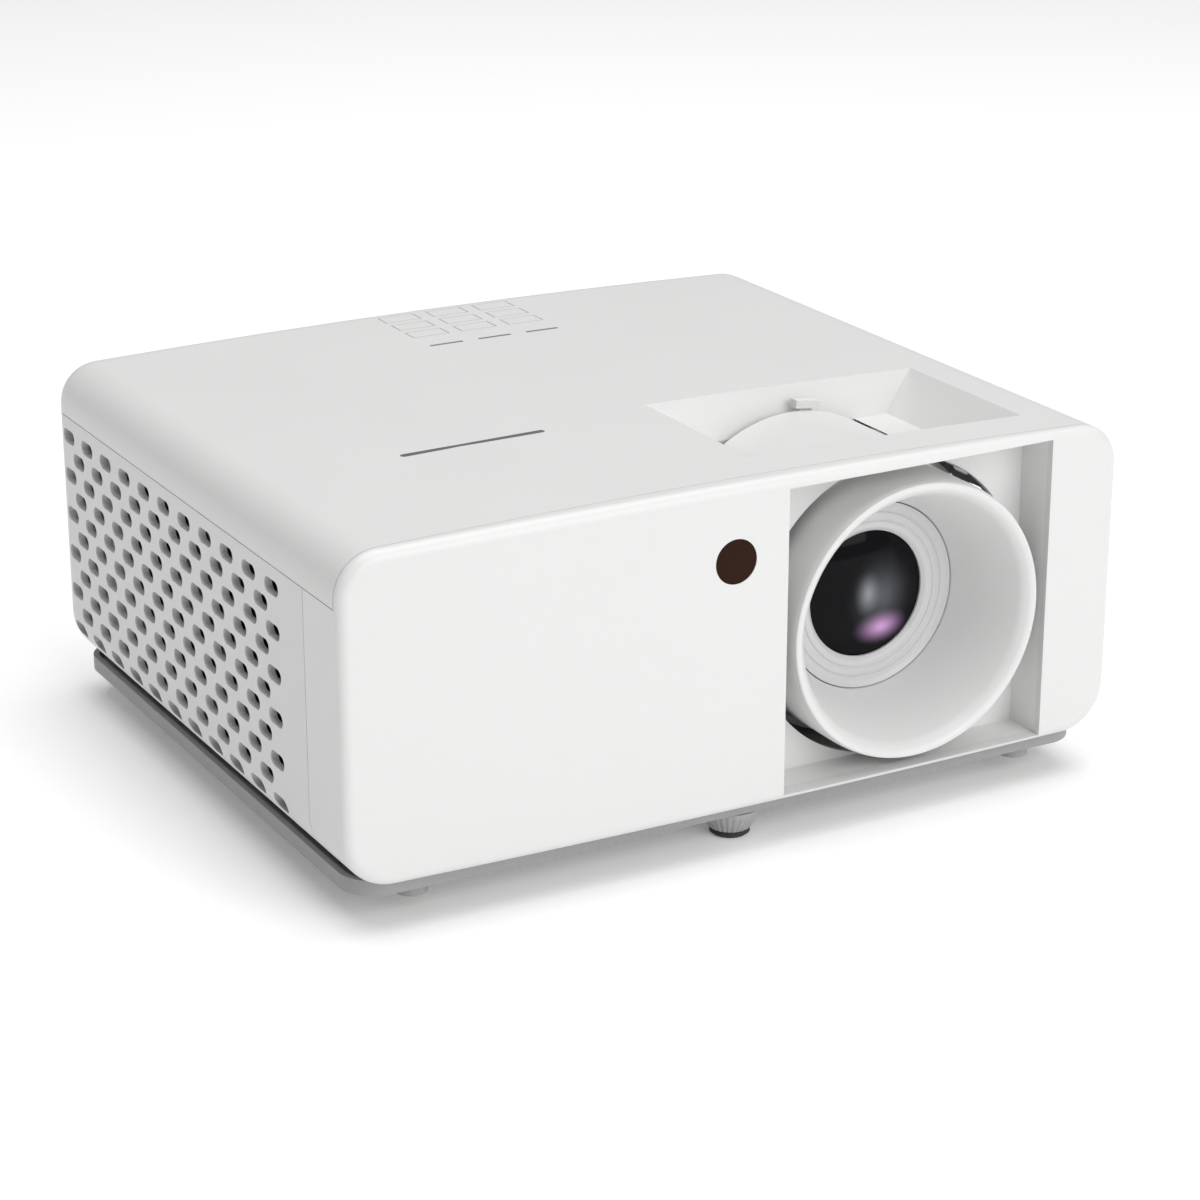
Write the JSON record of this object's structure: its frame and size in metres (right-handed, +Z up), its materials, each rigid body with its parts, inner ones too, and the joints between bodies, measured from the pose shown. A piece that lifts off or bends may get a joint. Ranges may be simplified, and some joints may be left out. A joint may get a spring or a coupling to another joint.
{
  "type": "home projector",
  "caption": "White box-shaped home projector with a recessed lens hood, perforated sides, top keypad and screw feet.",
  "frame": {"origin": "on the table under the middle of the housing, at the soles of the feet", "axes": "+Z up, -Y the front with the lens, +X the lens side"},
  "size_m": [0.274, 0.239, 0.1215],
  "materials": {
    "white_housing": "fine satin moulded",
    "white_grille": "fine satin moulded",
    "grey_base": "fine matt moulded",
    "grey_foot": "knurled satin",
    "foot_rubber": "matt",
    "brass_bush": "turned",
    "steel_screw": "turned",
    "infrared_window": "polished dark",
    "indicator_lens": "smoked",
    "white_zoom_ring": "satin",
    "white_retainer": "satin",
    "black_barrel": "matt",
    "optical_glass": "coated",
    "tunnel_mirror": "mirror",
    "cast_engine": "cast",
    "fin_aluminium": "extruded",
    "motor_steel": "drawn",
    "phosphor_disc": "coated",
    "chip_ceramic": "ceramic",
    "circuit_board": "solder mask",
    "fan_plastic": "moulded",
    "socket_steel": "pressed",
    "socket_plastic": "moulded",
    "speaker_box": "moulded"
  },
  "bodies": {
    "housing": {"top_cover": "white_housing", "left_grille": "white_grille", "right_grille": "white_grille", "front_panel": "white_housing", "rear_panel": "white_housing", "bottom_case": "white_housing", "base_pan": "grey_base", "lens_bay": "white_housing", "ir_window": "infrared_window", "ir_sensor_board": "circuit_board", "indicator_lenses": "indicator_lens", "keypad_board": "circuit_board", "foot_bushes": "brass_bush", "ceiling_mount_inserts": "brass_bush", "case_screws": "steel_screw", "lens_barrel": "black_barrel", "rear_lens": "optical_glass", "engine_housing": "cast_engine", "engine_lid": "cast_engine", "prism": "optical_glass", "light_tunnel": "tunnel_mirror", "wheel_motor": "motor_steel", "laser_module": "cast_engine", "laser_heatsink": "fin_aluminium", "imaging_chip": "chip_ceramic", "chip_board": "circuit_board", "chip_heatsink": "fin_aluminium", "exhaust_fan_frames": "fan_plastic", "main_board": "circuit_board", "hdmi_sockets": "socket_steel", "usb_socket": "socket_steel", "audio_jack": "socket_plastic", "mains_inlet": "socket_plastic", "power_supply_board": "circuit_board", "speaker": "speaker_box"},
    "focus_ring": {"focus_ring": "white_housing"},
    "front_lens_group": {"focus_cell": "black_barrel", "front_lens": "optical_glass", "lens_retainer": "white_retainer"},
    "zoom_ring": {"zoom_ring": "white_zoom_ring"},
    "zoom_group": {"zoom_cell": "black_barrel", "zoom_lens": "optical_glass"},
    "phosphor_wheel": {"phosphor_wheel": "phosphor_disc"},
    "front_fan_rotor": {"front_fan_rotor": "fan_plastic"},
    "rear_fan_rotor": {"rear_fan_rotor": "fan_plastic"},
    "power_key": {"power_key": "white_housing"},
    "up_key": {"up_key": "white_housing"},
    "source_key": {"source_key": "white_housing"},
    "left_key": {"left_key": "white_housing"},
    "enter_key": {"enter_key": "white_housing"},
    "right_key": {"right_key": "white_housing"},
    "menu_key": {"menu_key": "white_housing"},
    "down_key": {"down_key": "white_housing"},
    "back_key": {"back_key": "white_housing"},
    "front_foot_pad": {"front_foot_pad": "foot_rubber"},
    "front_foot_screw": {"front_foot_screw": "grey_foot"},
    "rear_left_foot_pad": {"rear_left_foot_pad": "foot_rubber"},
    "rear_left_foot_screw": {"rear_left_foot_screw": "grey_foot"},
    "rear_right_foot_pad": {"rear_right_foot_pad": "foot_rubber"},
    "rear_right_foot_screw": {"rear_right_foot_screw": "grey_foot"}
  },
  "joints": [
    {"name": "focus_turn", "type": "hinge", "parent": "housing", "child": "focus_ring", "pos_m": [0.0605, 0, 0.0655], "axis": [0, 1, 0], "range_deg": [-60, 60]},
    {"name": "focus_travel", "type": "slide", "parent": "housing", "child": "front_lens_group", "axis": [0, 1, 0], "range_m": [-0.0013, 0.0013]},
    {"name": "zoom_turn", "type": "hinge", "parent": "housing", "child": "zoom_ring", "pos_m": [0.0605, 0, 0.0655], "axis": [0, 1, 0], "range_deg": [-25, 12]},
    {"name": "zoom_travel", "type": "slide", "parent": "housing", "child": "zoom_group", "axis": [0, 1, 0], "range_m": [-0.0069, 0.0034]},
    {"name": "wheel_spin", "type": "hinge", "parent": "housing", "child": "phosphor_wheel", "pos_m": [-0.026, 0.0055, 0.0455], "axis": [1, 0, 0], "continuous": true},
    {"name": "front_fan_spin", "type": "hinge", "parent": "housing", "child": "front_fan_rotor", "pos_m": [-0.11, -0.05, 0.0605], "axis": [1, 0, 0], "continuous": true},
    {"name": "rear_fan_spin", "type": "hinge", "parent": "housing", "child": "rear_fan_rotor", "pos_m": [-0.11, 0.036, 0.0605], "axis": [1, 0, 0], "continuous": true},
    {"name": "power_key_press", "type": "slide", "parent": "housing", "child": "power_key", "axis": [0, 0, -1], "range_m": [0, 0.0006], "stiffness_N_per_m": 600, "springref_m": -0.0008},
    {"name": "up_key_press", "type": "slide", "parent": "housing", "child": "up_key", "axis": [0, 0, -1], "range_m": [0, 0.0006], "stiffness_N_per_m": 600, "springref_m": -0.0008},
    {"name": "source_key_press", "type": "slide", "parent": "housing", "child": "source_key", "axis": [0, 0, -1], "range_m": [0, 0.0006], "stiffness_N_per_m": 600, "springref_m": -0.0008},
    {"name": "left_key_press", "type": "slide", "parent": "housing", "child": "left_key", "axis": [0, 0, -1], "range_m": [0, 0.0006], "stiffness_N_per_m": 600, "springref_m": -0.0008},
    {"name": "enter_key_press", "type": "slide", "parent": "housing", "child": "enter_key", "axis": [0, 0, -1], "range_m": [0, 0.0006], "stiffness_N_per_m": 600, "springref_m": -0.0008},
    {"name": "right_key_press", "type": "slide", "parent": "housing", "child": "right_key", "axis": [0, 0, -1], "range_m": [0, 0.0006], "stiffness_N_per_m": 600, "springref_m": -0.0008},
    {"name": "menu_key_press", "type": "slide", "parent": "housing", "child": "menu_key", "axis": [0, 0, -1], "range_m": [0, 0.0006], "stiffness_N_per_m": 600, "springref_m": -0.0008},
    {"name": "down_key_press", "type": "slide", "parent": "housing", "child": "down_key", "axis": [0, 0, -1], "range_m": [0, 0.0006], "stiffness_N_per_m": 600, "springref_m": -0.0008},
    {"name": "back_key_press", "type": "slide", "parent": "housing", "child": "back_key", "axis": [0, 0, -1], "range_m": [0, 0.0006], "stiffness_N_per_m": 600, "springref_m": -0.0008},
    {"name": "front_foot_height", "type": "slide", "parent": "housing", "child": "front_foot_pad", "axis": [0, 0, -1], "range_m": [0, 0.012]},
    {"name": "front_foot_turn", "type": "hinge", "parent": "front_foot_pad", "child": "front_foot_screw", "pos_m": [0.0024, -0.103, 0.006], "axis": [0, 0, 1], "range_deg": [0, 1440]},
    {"name": "rear_left_foot_height", "type": "slide", "parent": "housing", "child": "rear_left_foot_pad", "axis": [0, 0, -1], "range_m": [0, 0.012]},
    {"name": "rear_left_foot_turn", "type": "hinge", "parent": "rear_left_foot_pad", "child": "rear_left_foot_screw", "pos_m": [-0.108, 0.092, 0.006], "axis": [0, 0, 1], "range_deg": [0, 1440]},
    {"name": "rear_right_foot_height", "type": "slide", "parent": "housing", "child": "rear_right_foot_pad", "axis": [0, 0, -1], "range_m": [0, 0.012]},
    {"name": "rear_right_foot_turn", "type": "hinge", "parent": "rear_right_foot_pad", "child": "rear_right_foot_screw", "pos_m": [0.108, 0.092, 0.006], "axis": [0, 0, 1], "range_deg": [0, 1440]}
  ],
  "couplings": [
    {"joint": "focus_travel", "follows": "focus_turn", "m_per_rad": 0.0012},
    {"joint": "zoom_travel", "follows": "zoom_turn", "m_per_rad": 0.0155},
    {"joint": "front_foot_turn", "follows": "front_foot_height", "rad_per_m": 2094.4},
    {"joint": "rear_left_foot_turn", "follows": "rear_left_foot_height", "rad_per_m": 2094.4},
    {"joint": "rear_right_foot_turn", "follows": "rear_right_foot_height", "rad_per_m": 2094.4}
  ]
}
